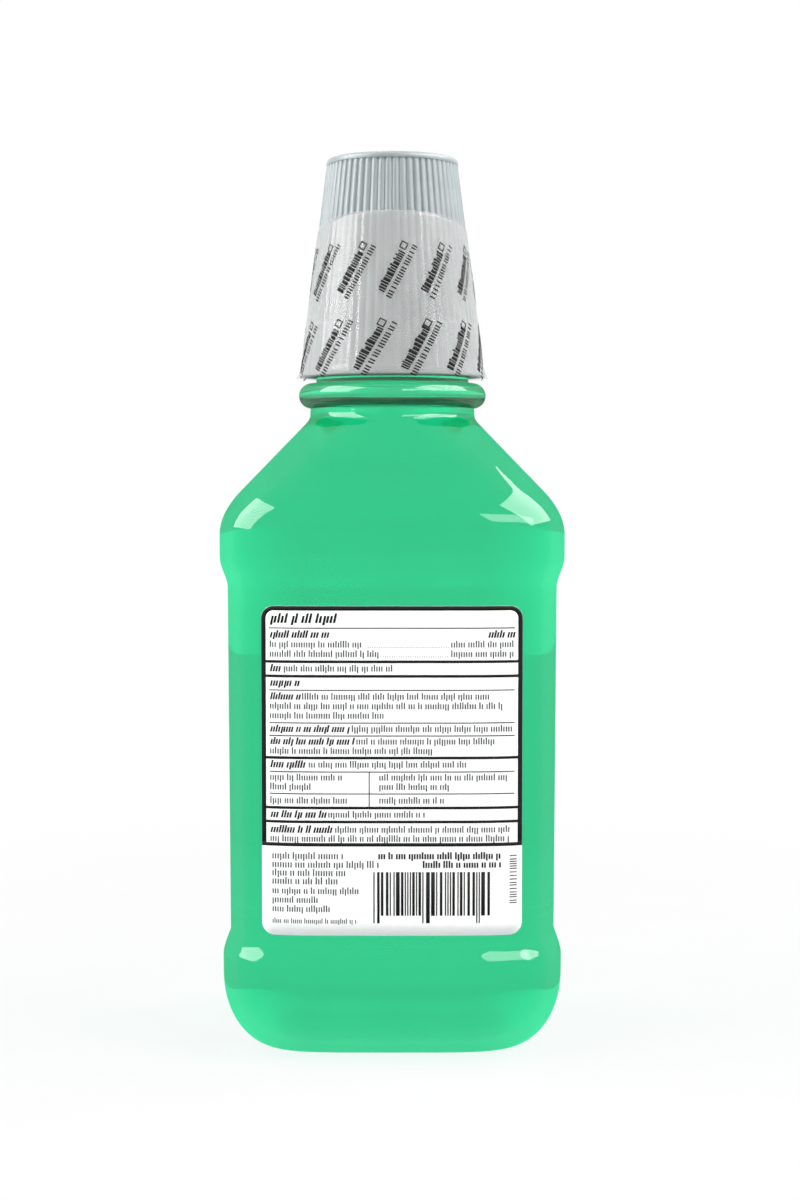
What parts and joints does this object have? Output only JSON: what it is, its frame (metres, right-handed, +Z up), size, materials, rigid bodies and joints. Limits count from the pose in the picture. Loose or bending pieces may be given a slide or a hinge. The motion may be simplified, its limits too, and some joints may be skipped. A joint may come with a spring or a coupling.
{
  "type": "mouthwash bottle",
  "caption": "Clear plastic mouthwash bottle with a recessed label panel, a ribbed squeeze-and-turn measuring cap, a printed film band over the cap and neck, and green liquid.",
  "frame": {"origin": "centre of the base, on the plane that the bottle stands on", "axes": "+Z up along the axis of the neck; -Y towards the labelled back, which the picture shows; +X to the right of that view, along the bottle's width"},
  "size_m": [0.0934, 0.079, 0.2422],
  "materials": {
    "clear_plastic": "clear gloss",
    "liquid": "clear liquid",
    "label_film": "satin",
    "cap_plastic": "satin",
    "seal_foam": "matte",
    "shrink_film": "clear gloss"
  },
  "bodies": {
    "bottle": {"bottle": "clear_plastic", "mouthwash": "liquid", "back_label": "label_film"},
    "cap_seal": {"cap_seal": "seal_foam"},
    "cap": {"cap": "cap_plastic"},
    "neckband": {"neckband": "shrink_film"}
  },
  "joints": [
    {"name": "cap_rise", "type": "slide", "parent": "bottle", "child": "cap_seal", "axis": [0, 0, 1], "range_m": [0, 0.0241]},
    {"name": "cap_turn", "type": "hinge", "parent": "cap_seal", "child": "cap", "pos_m": [0, 0, 0.2], "axis": [0, 0, 1], "range_deg": [0, 1080]},
    {"name": "neckband_lift", "type": "slide", "parent": "cap", "child": "neckband", "axis": [0, 0, 1], "range_m": [0, 0.072]}
  ],
  "couplings": [
    {"joint": "cap_rise", "follows": "cap_turn", "m_per_rad": 0.0012732}
  ]
}
